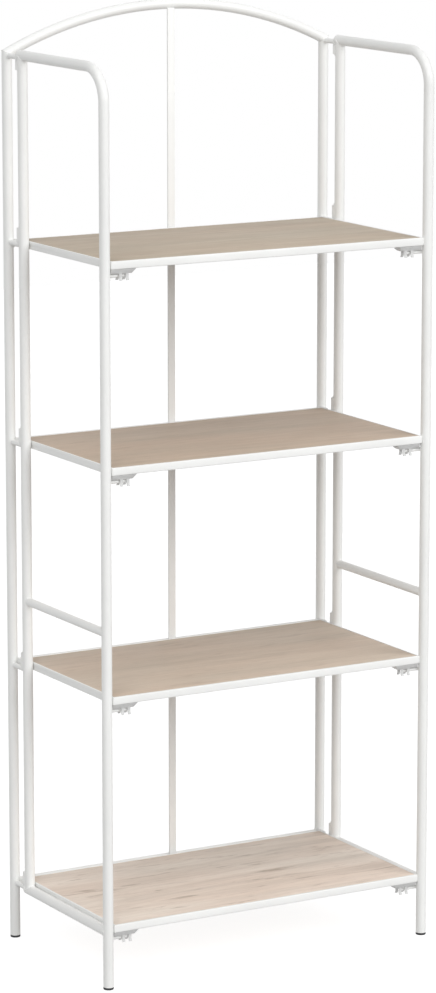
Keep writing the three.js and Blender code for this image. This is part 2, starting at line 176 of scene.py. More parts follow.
def remap(tree, value, low, high, new_low, new_high):
    """A number moved from one range to another."""
    node = tree.nodes.new("ShaderNodeMapRange")
    node.inputs["From Min"].default_value = low
    node.inputs["From Max"].default_value = high
    node.inputs["To Min"].default_value = new_low
    node.inputs["To Max"].default_value = new_high
    tree.links.new(value, node.inputs["Value"])
    return node.outputs["Result"]


def bump(tree, shader, height, strength, distance):
    """Relief on the shader's surface, without any new faces."""
    node = tree.nodes.new("ShaderNodeBump")
    node.inputs["Strength"].default_value = strength
    node.inputs["Distance"].default_value = distance
    tree.links.new(height, node.inputs["Height"])
    tree.links.new(node.outputs["Normal"], shader.inputs["Normal"])


print("tones and roughness follow a noise from", NOISE_LOW, "to", NOISE_HIGH)

# %% [markdown]
# ## Colours as a screen shows them
# Shaders count in linear light, and a paint program counts as the screen does, which makes the same
# grey two different numbers. The finishes are written as screen colours from 0 to 255, since those can
# be held against a picture, and this helper turns them into linear ones by the sRGB rule.


# %% Screen colours
def screen(red, green, blue):
    """A screen colour, 0 to 255, as the linear values that shaders take."""
    values = []
    for value in (red, green, blue):
        share = value / 255
        values.append(share / 12.92 if share <= 0.04045 else ((share + 0.055) / 1.055) ** 2.4)
    return tuple(values)


print("a screen's grey 128 is %.3f in linear light" % screen(128, 128, 128)[0])

# %% [markdown]
# ## White powder coat
# The tube is sprayed with dry powder and baked, which leaves an even satin white with a fine orange
# peel. A plain white would do from afar, but up close it looks like plastic. So one large, weak noise
# lets the tone and the roughness drift, and one fine noise makes the peel as bump.


# %% The coat
def powder_coat():
    """Satin white with a faint orange peel."""
    material, tree, shader = new_material("white_powder_coat")
    place = stretched(tree, (1, 1, 1))
    drift = noise(tree, place, scale=9, detail=2)
    tone = ramp(tree, drift, [(NOISE_LOW, screen(238, 238, 236)), (NOISE_HIGH, screen(243, 243, 241))])
    tree.links.new(tone, shader.inputs["Base Color"])
    tree.links.new(remap(tree, drift, NOISE_LOW, NOISE_HIGH, 0.36, 0.44), shader.inputs["Roughness"])
    peel = noise(tree, place, scale=900, detail=2, roughness=0.5)
    bump(tree, shader, peel, strength=0.08, distance=0.2 * MM)
    return material


COAT = powder_coat()
print("made", COAT.name)

# %% [markdown]
# ## Marks that darken
# Wood is a pale ground with darker marks on it: streaks, pores, flecks. Each could be mixed in as a
# colour of its own, but then every board would need its own set. So a mark is a tint from a ramp, white
# or nearly so where there is none, and is multiplied onto whatever colour the board has.


# %% Darkening by marks
def darkened(tree, share, colour, marks):
    """A colour multiplied by marks, as strongly as the share says."""
    node = tree.nodes.new("ShaderNodeMix")
    node.data_type = "RGBA"
    node.blend_type = "MULTIPLY"
    node.inputs[0].default_value = share
    tree.links.new(colour, node.inputs[6])
    tree.links.new(marks, node.inputs[7])
    return node.outputs[2]


test_material, test_tree, _ = new_material("test")
grey = noise(test_tree, stretched(test_tree, (1, 1, 1)), 1)
darkened(test_tree, 1, grey, grey)
print("a material with one mark on its colour has", len(test_tree.nodes), "nodes")
bpy.data.materials.remove(test_material)

# %% [markdown]
# ## Pale oak
# Each board is faced with pale, rather grey oak whose grain runs along the shelf. Wood could be a photo
# on the board, but here it is noise that is stretched along X, since all of its marks are longer than
# they are wide. Growth bands come first, then clouds of a pinker tone, short streaks, and the pores,
# which only a close view shows. A noise that is cut off high leaves a few dark flecks, as on the lowest
# board. Every board has a shift of its own, as no two boards come from the same place in a tree.
# The boards' tones are painted light. All four are one oak, but their tones step lighter from the top
# board down. This makes up for the shade that each shelf casts on the one below, and the lowest board is
# painted lightest.

# %% The boards' oak
OAK_SHIFT = (0.37, 0.61, 0.23)
PORE_SHARE = 0.35


def pale_oak(number, dark, mid, light, grain, flecks):
    """One board's oak, from the tones of its bands and the shares of its streaks and flecks."""
    material, tree, shader = new_material("pale_oak_%d" % number)
    shift = tuple(step * number for step in OAK_SHIFT)

    def layer(along, across, detail, roughness, distortion=0.0):
        place = stretched(tree, (along, across, across), shift)
        return noise(tree, place, 1, detail, roughness, distortion)

    bands = [(NOISE_LOW, screen(*dark)), (0.5, screen(*mid)), (NOISE_HIGH, screen(*light))]
    streaks = layer(11, 150, 4, 0.65, 0.4)
    wood = ramp(tree, layer(2.4, 24, 3, 0.5, 0.8), bands)
    cloud = ramp(tree, layer(3, 9, 2, 0.5), [(0.35, (1, 0.965, 0.945)), (0.65, (0.965, 0.967, 0.96))])
    soft_streaks = ramp(tree, streaks, [(0.3, (0.84, 0.825, 0.81)), (0.6, (1, 1, 1))])
    pores = ramp(tree, layer(40, 1000, 2, 0.5), [(0.3, (0.66, 0.62, 0.59)), (0.42, (1, 1, 1))])
    dark_flecks = ramp(tree, layer(12, 70, 3, 0.6, 0.4), [(0.59, (1, 1, 1)), (0.72, (0.7, 0.66, 0.63))])
    for share, marks in ((1, cloud), (grain, soft_streaks), (PORE_SHARE, pores), (flecks, dark_flecks)):
        wood = darkened(tree, share, wood, marks)
    tree.links.new(wood, shader.inputs["Base Color"])
    tree.links.new(remap(tree, streaks, NOISE_LOW, NOISE_HIGH, 0.66, 0.54), shader.inputs["Roughness"])
    shader.inputs["Specular IOR Level"].default_value = 0.35
    bump(tree, shader, streaks, strength=0.12, distance=0.3 * MM)
    return material


# Painted light: the boards are one oak, and these tones step lighter from the top board down to offset the
# shade from the shelf above, with the lowest painted lightest.
OAKS_WITH_PAINTED_LIGHT = {
    1: pale_oak(1, (187, 172, 154), (193, 179, 161), (199, 186, 169), grain=0.4, flecks=0.3),
    2: pale_oak(2, (197, 180, 162), (202, 184, 166), (207, 189, 171), grain=0.35, flecks=0.3),
    3: pale_oak(3, (207, 191, 174), (212, 196, 179), (217, 201, 184), grain=0.35, flecks=0.4),
    4: pale_oak(4, (224, 210, 197), (239, 225, 212), (249, 237, 225), grain=0.5, flecks=1.0),
}
print("made", len(OAKS_WITH_PAINTED_LIGHT), "boards' worth of oak")

# %% [markdown]
# ## Dark rubber and white plastic
# The feet are moulded rubber: nearly black, dull, with a fine grain. The clips are a white nylon, a
# little greyer than the coat. Their tone is also partly painted shade: it is written greyer than the nylon
# itself, for the shade under the shelves' rims. Flat colours would hide how the pieces are made, so both
# are one noise each, which sets the tone, the roughness and the relief together, as a mould's surface does.


# %% Rubber and nylon
def moulded(name, scale, dark, light, smooth, rough, relief):
    """A moulded finish, from the size of its grain, its two tones and its two roughnesses."""
    material, tree, shader = new_material(name)
    grain = noise(tree, stretched(tree, (1, 1, 1)), scale, detail=3)
    tones = [(NOISE_LOW, screen(*dark)), (NOISE_HIGH, screen(*light))]
    tree.links.new(ramp(tree, grain, tones), shader.inputs["Base Color"])
    tree.links.new(remap(tree, grain, NOISE_LOW, NOISE_HIGH, smooth, rough), shader.inputs["Roughness"])
    bump(tree, shader, grain, relief, 0.2 * MM)
    return material


RUBBER = moulded("dark_rubber", 300, (38, 38, 40), (52, 52, 54), smooth=0.62, rough=0.78, relief=0.1)
# The clips' tone is the nylon's own light grey, darkened further as painted shade for the shade under the
# shelves' rims.
NYLON_WITH_PAINTED_SHADE = moulded("white_nylon_with_painted_shade", 120, (208, 208, 207), (216, 216, 215), smooth=0.38, rough=0.48, relief=0.04)
print("made", RUBBER.name, "and", NYLON_WITH_PAINTED_SHADE.name)

# %% [markdown]
# ## Geometry Nodes: a rod swept along a path
# Tubes, stubs and weld beads are all one thing: a circle carried along a line. A curve's own bevel could
# do the plain ones, but not the beads. So two small node chains are built here: one carries the circle,
# and one pushes each point out by a noise, which makes a weld wander as a real one does.

# %% Sweep and ripple
BEAD_LUMPS = 700


def swept_circle(group, given):
    """Nodes that carry a circle along the given line and close both ends."""
    circle = group.nodes.new("GeometryNodeCurvePrimitiveCircle")
    group.links.new(given.outputs["Sides"], circle.inputs["Resolution"])
    group.links.new(given.outputs["Radius"], circle.inputs["Radius"])
    sweep = group.nodes.new("GeometryNodeCurveToMesh")
    group.links.new(given.outputs["Geometry"], sweep.inputs["Curve"])
    group.links.new(circle.outputs["Curve"], sweep.inputs["Profile Curve"])
    sweep.inputs["Fill Caps"].default_value = True
    return sweep.outputs["Mesh"]


def rippled(group, given, mesh):
    """Nodes that push each point of the mesh out along its normal, by a seeded noise."""
    uneven = group.nodes.new("ShaderNodeTexNoise")
    uneven.noise_dimensions = "4D"
    uneven.inputs["Scale"].default_value = BEAD_LUMPS
    uneven.inputs["Detail"].default_value = 1
    group.links.new(given.outputs["Seed"], uneven.inputs["W"])
    lift = group.nodes.new("ShaderNodeMath")
    lift.operation = "MULTIPLY"
    group.links.new(uneven.outputs["Fac"], lift.inputs[0])
    group.links.new(given.outputs["Ripple"], lift.inputs[1])
    normal = group.nodes.new("GeometryNodeInputNormal")
    push = group.nodes.new("ShaderNodeVectorMath")
    push.operation = "SCALE"
    group.links.new(normal.outputs["Normal"], push.inputs[0])
    group.links.new(lift.outputs["Value"], push.inputs["Scale"])
    move = group.nodes.new("GeometryNodeSetPosition")
    group.links.new(mesh, move.inputs["Geometry"])
    group.links.new(push.outputs["Vector"], move.inputs["Offset"])
    return move.outputs["Geometry"]


print("a bead's lumps lie about %.1f mm apart" % (1 / BEAD_LUMPS / MM))

# %% [markdown]
# ## The whole group
# A rod could be built node by node each time, but one group holds the rule for all: its named inputs
# are the line, the radius, the number of sides, the ripple, its seed and the material. It ends by
# realizing instances and setting the material, since the export keeps plain meshes only.

# %% The sweep group
SWEEP_INPUTS = (
    ("Geometry", "Geometry"), ("Radius", "Float"), ("Sides", "Int"),
    ("Ripple", "Float"), ("Seed", "Int"), ("Material", "Material"),
)


def tube_group():
    """The node group that turns a line into a rod."""
    group = bpy.data.node_groups.new("tube_along_path", "GeometryNodeTree")
    for name, kind in SWEEP_INPUTS:
        group.interface.new_socket(name, in_out="INPUT", socket_type="NodeSocket" + kind)
    group.interface.new_socket("Geometry", in_out="OUTPUT", socket_type="NodeSocketGeometry")
    given = group.nodes.new("NodeGroupInput")
    rod = rippled(group, given, swept_circle(group, given))
    realize = group.nodes.new("GeometryNodeRealizeInstances")
    group.links.new(rod, realize.inputs["Geometry"])
    paint = group.nodes.new("GeometryNodeSetMaterial")
    group.links.new(realize.outputs["Geometry"], paint.inputs["Geometry"])
    group.links.new(given.outputs["Material"], paint.inputs["Material"])
    out = group.nodes.new("NodeGroupOutput")
    group.links.new(paint.outputs["Geometry"], out.inputs["Geometry"])
    return group


TUBE = tube_group()
print("the sweep group has", len(TUBE.nodes), "nodes")

# %% [markdown]
# ## Running the group
# A live modifier could stay on each piece, but then the pieces couldn't be joined. So the group runs on
# a carrier curve, its evaluated result becomes a plain mesh, and the curve is thrown away. A modifier's
# inputs are set by each socket's identifier, before the object is first evaluated.

# %% A line becomes a rod
ROUND_STEPS = 48


def swept(points, radius, sides=ROUND_STEPS, ripple=0.0, seed=3, closed=False):
    """A rod along the points, as a mesh in the coat's material."""
    curve = bpy.data.curves.new("path", "CURVE")
    curve.dimensions = "3D"
    spline = curve.splines.new("POLY")
    spline.points.add(len(points) - 1)
    for place, point in zip(spline.points, points):
        place.co = (*point, 1)
    spline.use_cyclic_u = closed
    carrier = bpy.data.objects.new("path", curve)
    scene.collection.objects.link(carrier)
    modifier = carrier.modifiers.new("sweep", "NODES")
    modifier.node_group = TUBE
    values = {"Radius": radius, "Sides": sides, "Ripple": ripple, "Seed": seed, "Material": COAT}
    for item in TUBE.interface.items_tree:
        if item.in_out == "INPUT" and item.name in values:
            modifier[item.identifier] = values[item.name]
    seen = carrier.evaluated_get(bpy.context.evaluated_depsgraph_get())
    mesh = bpy.data.meshes.new_from_object(seen)
    bpy.data.objects.remove(carrier)
    bpy.data.curves.remove(curve)
    return mesh


test_rod = swept([Vector(), UP], TUBE_R)
print("a test rod has", len(test_rod.vertices), "points")
bpy.data.meshes.remove(test_rod)

# %% [markdown]
# ## Eased outlines
# Whoever turns a pin breaks its sharp corners, because a knife edge cuts hands and catches no light. A
# Bevel modifier could do that later, but in the outline it takes two points a corner and no search for
# edges. A corner whose neighbours are too near stays sharp, so no chamfer runs into the next.

# %% Chamfers in an outline
EDGE = 0.5 * MM
ROOM_SHARE = 2.5


def eased(outline, ease=EDGE):
    """The outline with a small chamfer at each corner that is far enough from its neighbours."""
    result = []
    for index, (along, radius) in enumerate(outline):
        inside = 0 < index < len(outline) - 1 and radius > 0
        neighbours = (outline[index - 1], outline[index + 1]) if inside else ()
        for other in neighbours:
            gap = Vector((other[0] - along, other[1] - radius))
            step = gap.normalized() * ease if gap.length > ROOM_SHARE * ease else Vector((0, 0))
            result.append((along + step.x, radius + step.y))
        if not inside:
            result.append((along, radius))
    return result


square_pin = [(0, 0), (0, TUBE_R), (TUBE_R, TUBE_R), (TUBE_R, 0)]
print("easing takes an outline from", len(square_pin), "points to", len(eased(square_pin)))

# %% [markdown]
# ## Turned bodies
# Pins, knobs, pegs, sleeves and feet are round bodies: an outline of distances and radii, spun about an
# axis. Blender's Spin operator would do it, but a few lines of bmesh give full control of the poles,
# which stay closed.


# %% Spun outlines
def around(steps):
    """Angles that go once round in even steps."""
    return [2 * math.pi * step / steps for step in range(steps)]


def turned(outline, base, direction, material=COAT, steps=ROUND_STEPS):
    """The outline spun about the direction, with its start at the base."""
    shape = bmesh.new()
    rings = []
    for along, radius in outline:
        angles = around(steps if radius > 0 else 1)
        rings.append([shape.verts.new((radius * math.cos(a), radius * math.sin(a), along)) for a in angles])
    for low, high in zip(rings, rings[1:]):
        for step in range(steps):
            near = (low[step % len(low)], low[(step + 1) % len(low)])
            far = (high[(step + 1) % len(high)], high[step % len(high)])
            corners = list(dict.fromkeys(near + far))
            if len(corners) > 2:
                shape.faces.new(corners)
    turn = direction.to_track_quat("Z", "Y").to_matrix().to_4x4()
    bmesh.ops.transform(shape, matrix=Matrix.Translation(base) @ turn, verts=shape.verts)
    bmesh.ops.recalc_face_normals(shape, faces=shape.faces)
    mesh = bpy.data.meshes.new("turned")
    shape.to_mesh(mesh)
    shape.free()
    mesh.materials.append(material)
    return mesh


test_pin = turned(eased(square_pin), Vector(), UP)
print("a test pin has", len(test_pin.polygons), "faces")
bpy.data.meshes.remove(test_pin)

# %% [markdown]
# ## Blocks
# Flat bar and plate are cut from stock with a slightly rounded edge. A cube that is scaled to its two
# corners and bevelled gives just that. A Bevel modifier would do the same, but this way the mesh is
# finished at once and can be joined with others.

# %% A bevelled block
BEVEL_STEPS = 2


def block(low, high):
    """A box with rounded edges, in the coat's material."""
    shape = bmesh.new()
    bmesh.ops.create_cube(shape, size=1)
    bmesh.ops.scale(shape, vec=high - low, verts=shape.verts)
    bmesh.ops.translate(shape, vec=(low + high) / 2, verts=shape.verts)
    bmesh.ops.bevel(
        shape, geom=shape.edges[:], offset=EDGE, segments=BEVEL_STEPS, profile=0.5, affect="EDGES",
    )
    mesh = bpy.data.meshes.new("block")
    shape.to_mesh(mesh)
    shape.free()
    mesh.materials.append(COAT)
    return mesh


test_block = block(Vector(), Vector((TUBE_R, TUBE_R, TUBE_R)))
print("a test block has", len(test_block.polygons), "faces")
bpy.data.meshes.remove(test_block)

# %% [markdown]
# ## One finished piece for each CAD node
# Each finished piece takes the place of one CAD node and rides the body that the record gives it, so
# a hoop swings and a shelf turns without more work. A tube and its beads could stay separate objects,
# but joined they move as one. Each object stays at the origin with its place in its
# mesh. Faces are smooth, apart from edges sharper than 35 degrees.

# %% Dressing a node
BODY_OF = {
    node: body
    for body, nodes in frame["record"]["behaviour"]["bodies"].items()
    for node in nodes
}
CREASE = math.radians(35)
made = []


def piece(node, meshes):
    """Joins the meshes into one object that replaces the CAD node."""
    shape = bmesh.new()
    for mesh in meshes:
        shape.from_mesh(mesh)
    joined = bpy.data.meshes.new("look_" + node)
    shape.to_mesh(joined)
    shape.free()
    joined.materials.append(meshes[0].materials[0])
    for face in joined.polygons:
        face.material_index = 0
        face.use_smooth = True
    joined.set_sharp_from_angle(angle=CREASE)
    thing = bpy.data.objects.new("look_" + node, joined)
    scene.collection.objects.link(thing)
    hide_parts(node)
    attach(thing, BODY_OF[node])
    made.append(thing)
    for mesh in meshes:
        bpy.data.meshes.remove(mesh)


print(len(BODY_OF), "CAD nodes to dress")

# %% [markdown]
# ## Weld beads
# Where a tube runs into the side of another, its end is cut to a saddle and welded all round. A torus
# would only fit a flat wall, so the bead follows the line where the two cylinders meet: at each angle
# round the small tube, the big tube's surface lies at the depth that its circle gives. A thin rippled
# rod along that line reads as a weld. Its seed makes it wander the same way on every run.

# %% Beads
BEAD_R = 1.0 * MM
BEAD_RIPPLE = 0.5 * MM
BEAD_SIDES = 8
BEAD_STEPS = 40


def saddle_bead(centre, axis, direction, radius, big_radius, seed):
    """A bead round a tube that comes along the direction into a bigger one along the axis."""
    across = axis.cross(direction).normalized()
    points = []
    for angle in around(BEAD_STEPS):
        side = radius * math.cos(angle)
        depth = math.sqrt(max(big_radius ** 2 - side ** 2, 0))
        points.append(centre - direction * depth + across * side + axis * (radius * math.sin(angle)))
    return swept(points, BEAD_R, BEAD_SIDES, BEAD_RIPPLE, seed, closed=True)


def seam_bead(foot, top, seed):
    """A straight bead from foot to top."""
    return swept([foot, top], BEAD_R, BEAD_SIDES, BEAD_RIPPLE, seed)


test_bead = saddle_bead(Vector(), BACK, UP, TUBE_R, TUBE_R, 1)
print("a saddle bead has", len(test_bead.polygons), "faces")
bpy.data.meshes.remove(test_bead)

# %% [markdown]
# ## The arch and its mitred corners
# The top of the back frame is a shallow arc of tube through three points: the tops of both posts and
# the apex. Post and arch meet on a mitre plane that halves the angle between them. A boolean could cut
# it, but that leaves long thin faces. Instead both tubes are swept past the plane, and what lies past it
# is moved back onto it, which leaves a clean mitre.

# %% The arc and the mitre
SPRING_Z = TOP_Z - 0.5 * MM
ARCH_RISE = ARCH_TOP_Z - SPRING_Z
ARCH_R = (POST_X ** 2 + ARCH_RISE ** 2) / (2 * ARCH_RISE)
ARCH_HALF = math.asin(POST_X / ARCH_R)
ARCH_CENTRE = Vector((0, BACK_Y, ARCH_TOP_Z - ARCH_R))


def arch_point(angle):
    """The point of the arc at an angle from its apex."""
    return ARCH_CENTRE + Vector((ARCH_R * math.sin(angle), 0, ARCH_R * math.cos(angle)))


def mitre(side):
    """The corner point, the direction along the arch towards its middle, and the plane's normal."""
    angle = side * ARCH_HALF
    inward = Vector((math.cos(angle), 0, -math.sin(angle))) * -side
    return arch_point(angle), inward, (inward + UP).normalized()


def cut_back(mesh, point, normal, along):
    """Moves each vertex that lies past the plane back onto it, along the tube."""
    for vertex in mesh.vertices:
        past = (vertex.co - point).dot(normal)
        if past > 0:
            vertex.co -= along * (past / normal.dot(along))


print("the arch rises %.0f mm over its posts, with a radius of %.0f mm" % (ARCH_RISE / MM, ARCH_R / MM))

# %% [markdown]
# ## The arch's tube
# Such a mitre is ground flush before it is coated, so all that shows of the weld is a hairline round
# the tube. It is a bead like the others, only far thinner, along the ellipse that the plane cuts out.

# %% The arch
ARCH_STEPS = 72
FLUSH_BEAD_R = 0.35 * MM
FLUSH_RIPPLE = 0.15 * MM


def flush_bead(side):
    """A hairline bead along the ellipse in which the mitre plane cuts the tube."""
    point, _, normal = mitre(side)
    across = normal.cross(BACK).normalized()
    reach = TUBE_R / abs(across.dot(RIGHT))
    seam = []
    for angle in around(BEAD_STEPS):
        seam.append(point + across * (reach * math.cos(angle)) + BACK * (TUBE_R * math.sin(angle)))
    return swept(seam, FLUSH_BEAD_R, BEAD_SIDES, FLUSH_RIPPLE, 11 + side, closed=True)


def arch():
    """The arc swept past both corners, cut back to the mitres, with its beads."""
    line = [arch_point(ARCH_HALF * (2 * step / ARCH_STEPS - 1)) for step in range(ARCH_STEPS + 1)]
    for _, side in SIDES:
        point, inward, _ = mitre(side)
        line.insert(0 if side < 0 else len(line), point - inward * 2 * TUBE_R)
    tube = swept(line, TUBE_R)
    for _, side in SIDES:
        point, inward, normal = mitre(side)
        cut_back(tube, point, -normal, inward)
    return [tube] + [flush_bead(side) for _, side in SIDES]


piece("back_arch", arch())
print("the arch has", len(made[-1].data.polygons), "faces")

# %% [markdown]
# ## Shelf pivots
# Near each shelf's rear corner a small plate stands forward of the post and carries a headed pin. The
# pin passes through the shelf's side bar, so the shelf can turn up against the back frame. Both could be
# copied from the CAD model, but they are a block and a turned pin, which come out cleaner when made
# anew. The pin starts inside the plate, since two faces in one plane would shade each other black.

# %% Pivots
LUG_IN = 292.2 * MM
LUG_OUT = 295.2 * MM
LUG_FRONT = 136 * MM
LUG_REAR = 161 * MM
LUG_HALF_HEIGHT = 6 * MM
PIVOT_Y = 141 * MM
PIVOT_R = 2.5 * MM
PIVOT_SHOULDER_R = 4.5 * MM
PIVOT_HEAD_R = 3.6 * MM
PIVOT_EASE = 0.3 * MM
PIN_SINK = 1.5 * MM
SHOULDER_END = 4.2 * MM
HEAD_START = 8.1 * MM
HEAD_END = 10.1 * MM


def shelf_box(number):
    """The corners of a shelf's steel frame."""
    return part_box("shelf_frame_%d" % number)


def pivot(side, height):
    """A plate on the post and the pin that it carries."""
    ends = sorted((side * LUG_IN, side * LUG_OUT))
    plate = block(
        Vector((ends[0], LUG_FRONT, height - LUG_HALF_HEIGHT)),
        Vector((ends[1], LUG_REAR, height + LUG_HALF_HEIGHT)),
    )
    outline = [
        (PIN_SINK, 0), (PIN_SINK, PIVOT_SHOULDER_R),
        (SHOULDER_END, PIVOT_SHOULDER_R), (SHOULDER_END, PIVOT_R),
        (HEAD_START, PIVOT_R), (HEAD_START, PIVOT_HEAD_R), (HEAD_END, PIVOT_HEAD_R), (HEAD_END, 0),
    ]
    pin = turned(eased(outline, PIVOT_EASE), Vector((side * LUG_OUT, PIVOT_Y, height)), RIGHT * -side)
    return [plate, pin]


low, high = shelf_box(1)
test_pivot = pivot(1, (low.z + high.z) / 2)
print("a pivot's plate and pin have", [len(mesh.polygons) for mesh in test_pivot], "faces")
for mesh in test_pivot:
    bpy.data.meshes.remove(mesh)

# %% [markdown]
# ## Back posts
# A post is one straight tube from its foot to the arch. The pivots' plates are welded to it and can't
# come off, so they are joined with its tube into one piece. They could ride as pieces of their own, but
# one CAD node stands for the whole, and one finished piece replaces it.


# %% Posts
def back_post(side):
    """A post cut to the arch's mitre, with a pivot for each shelf."""
    foot = Vector((side * POST_X, BACK_Y, TUBE_FOOT))
    tube = swept([foot, Vector((foot.x, foot.y, SPRING_Z + 2 * TUBE_R))], TUBE_R)
    point, _, normal = mitre(side)
    cut_back(tube, point, normal, UP)
    meshes = [tube]
    for number in SHELVES:
        low, high = shelf_box(number)
        meshes += pivot(side, (low.z + high.z) / 2)
    return meshes


for word, side in SIDES:
    piece("back_post_" + word, back_post(side))
print("each post carries", len(SHELVES), "pivots")

# %% [markdown]
# ## Cross rails and the centre upright
# Four thin rails join the posts behind the shelves, and one flat bar is welded to their fronts, from the
# lowest rail to the underside of the arch. The bar could be swept like the rails, but a block has the
# flat faces and eased edges of bar stock. Each rail's end gets a saddle bead, and the bar gets two short
# beads at each rail, on its edges, which is where a welder can reach.

# %% Rails and upright
SMALL_STEPS = 32
SEAT_GAP = 0.3 * MM
SHORT_BEAD_SHARE = 0.66


def cross_rail(number):
    """A thin rail from post to post, with a bead at each end."""
    _, height = half_and_middle("back_cross_rail_%d" % number, Z)
    ends = [Vector((side * POST_X, BACK_Y, height)) for _, side in SIDES]
    meshes = [swept(ends, CROSS_R, SMALL_STEPS)]
    for (_, side), end in zip(SIDES, ends):
        meshes.append(saddle_bead(end, UP, RIGHT * side, CROSS_R, TUBE_R, 20 + 3 * number + side))
    return meshes


def centre_upright():
    """The flat bar, seated on the rails, with its short beads."""
    low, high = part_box("back_centre_upright")
    meshes = [block(low, high + Vector((0, SEAT_GAP, 0)))]
    half_bead = CROSS_R * SHORT_BEAD_SHARE
    for number in SHELVES:
        _, height = half_and_middle("back_cross_rail_%d" % number, Z)
        for edge_x in (low.x, high.x):
            foot = Vector((edge_x, high.y + SEAT_GAP, height - half_bead))
            meshes.append(seam_bead(foot, foot + UP * 2 * half_bead, 60 + number))
    return meshes


for number in SHELVES:
    piece("back_cross_rail_%d" % number, cross_rail(number))
piece("back_centre_upright", centre_upright())
print("the upright has", 2 * len(SHELVES), "beads")

# %% [markdown]
# ## A bend with one radius
# Each side frame's tube is bent round a die, so its corner is a true arc. A bezier handle set by eye
# would come near it, but the arc is easy to work out: it leaves the first leg and meets the second at
# the same distance from the corner, the radius times the tangent of half the turn.

# %% Bends
BEND_R = 54 * MM
BEND_STEPS = 32


def bent(start, corner, end, radius, steps):
    """Points from start to end with the corner rounded to the radius."""
    into = (corner - start).normalized()
    out = (end - corner).normalized()
    turn = into.angle(out)
    inward = (out - into * into.dot(out)).normalized()
    origin = corner - into * (radius * math.tan(turn / 2))
    points = [start]
    for step in range(steps + 1):
        angle = turn * step / steps
        ahead = into * (radius * math.sin(angle))
        points.append(origin + ahead + inward * (radius * (1 - math.cos(angle))))
    return points + [end]


square_bend = bent(Vector(), UP, UP + BACK, BEND_R, BEND_STEPS)
print("a bend of %.0f mm has %d points" % (BEND_R / MM, len(square_bend)))

# %% [markdown]
# ## Hoops
# Top rail, bend and front leg are one tube, so they are one sweep: three rods would show two seams. Four
# pegs stand inward from the leg for the shelves' clips. A cap with a slightly eased rim closes the
# tube's rear end, and the sweep stops that much short to make room for it.

# %% The hoop
PEG_R = 3.1 * MM
PEG_INNER_X = 262 * MM
PEG_LENGTH = 36 * MM
PEG_Y = LEG_Y + 7.5 * MM
PEG_DROP = 11.5 * MM
CAP = 0.6 * MM
CAP_EASE = 0.1 * MM
CAP_SHARE = 0.98


def capped_end(x, height):
    """The cap that closes a rail's rear end."""
    outline = eased([(0, TUBE_R * CAP_SHARE), (CAP, TUBE_R - EDGE), (CAP, 0)], CAP_EASE)
    return turned(outline, Vector((x, RAIL_END_Y - CAP, height)), BACK)


def hoop(side):
    """Leg, bend and top rail in one tube, with the pegs."""
    x = side * POST_X
    foot = Vector((x, LEG_Y, TUBE_FOOT))
    line = bent(foot, Vector((x, LEG_Y, TOP_Z)), Vector((x, RAIL_END_Y - CAP, TOP_Z)), BEND_R, BEND_STEPS)
    meshes = [swept(line, TUBE_R), capped_end(x, TOP_Z)]
    peg = eased([(0, 0), (0, PEG_R), (PEG_LENGTH, PEG_R), (PEG_LENGTH, 0)])
    for number in SHELVES:
        height = shelf_box(number)[0].z - PEG_DROP
        tip = Vector((side * PEG_INNER_X, PEG_Y, height))
        meshes.append(turned(peg, tip, RIGHT * side, steps=SMALL_STEPS))
    return meshes


test_hoop = hoop(1)
print("a hoop is joined from", len(test_hoop), "meshes: a tube, a cap and the pegs")
for mesh in test_hoop:
    bpy.data.meshes.remove(mesh)

# %% [markdown]
# ## Rear posts and rails of the side frames
# A rear post, a thin middle rail and a bottom rail are welded into each hoop. A boolean could cut their
# ends to saddles, but here the tubes run on to the other tube's centre line, where nobody sees them end.
# Only the beads have to follow the saddles.


# %% Posts and rails
def rear_post(side):
    """The post between the bottom rail and the top rail."""
    low = Vector((side * POST_X, REAR_Y, LOW_Z))
    high = Vector((side * POST_X, REAR_Y, TOP_Z))
    beads = [
        saddle_bead(high, BACK, UP, TUBE_R, TUBE_R, 31 + side),
        saddle_bead(low, BACK, -UP, TUBE_R, TUBE_R, 34 + side),
    ]
    return [swept([low, high], TUBE_R)] + beads


def mid_rail(side):
    """The thin rail half way up."""
    front = Vector((side * POST_X, LEG_Y, MID_Z))
    rear = Vector((side * POST_X, REAR_Y, MID_Z))
    beads = [
        saddle_bead(front, UP, -BACK, MID_R, TUBE_R, 41 + side),
        saddle_bead(rear, UP, BACK, MID_R, TUBE_R, 44 + side),
    ]
    return [swept([front, rear], MID_R)] + beads


def bottom_rail(side):
    """The rail under the rear post, with its capped end."""
    x = side * POST_X
    front = Vector((x, LEG_Y, LOW_Z))
    rail = swept([front, Vector((x, RAIL_END_Y - CAP, LOW_Z))], TUBE_R)
    return [rail, capped_end(x, LOW_Z), saddle_bead(front, UP, -BACK, TUBE_R, TUBE_R, 51 + side)]


for word, side in SIDES:
    piece("side_hoop_" + word, hoop(side))
    piece("side_rear_post_" + word, rear_post(side))
    piece("side_mid_rail_" + word, mid_rail(side))
    piece("side_bottom_rail_" + word, bottom_rail(side))
print("side frames done:", len(made), "pieces so far")

# %% [markdown]
# ## Hinge pins
# Each side frame turns on five pins. A pin tapers at its tip, which lets its sleeve find it when the
# frame is put together. It is turned, because a sweep as it is built here has one radius all along.

# %% Pins
PIN_R = 3.0 * MM
PIN_TIP = 3.5 * MM
TIP_SHARE = 0.55


def hinge_pin(base, direction, sleeve_length):
    """A pin that starts inside the elbow or knob and ends in a tapered tip."""
    length = sleeve_length + 2 * SEAT_GAP
    outline = [
        (-SEAT_GAP, 0), (-SEAT_GAP, PIN_R), (length, PIN_R),
        (length + PIN_TIP, PIN_R * TIP_SHARE), (length + PIN_TIP, 0),
    ]
    return turned(eased(outline), base, direction, steps=SMALL_STEPS)


test_pin = hinge_pin(Vector(), UP, TUBE_R)
print("a hinge pin has", len(test_pin.polygons), "faces")
bpy.data.meshes.remove(test_pin)

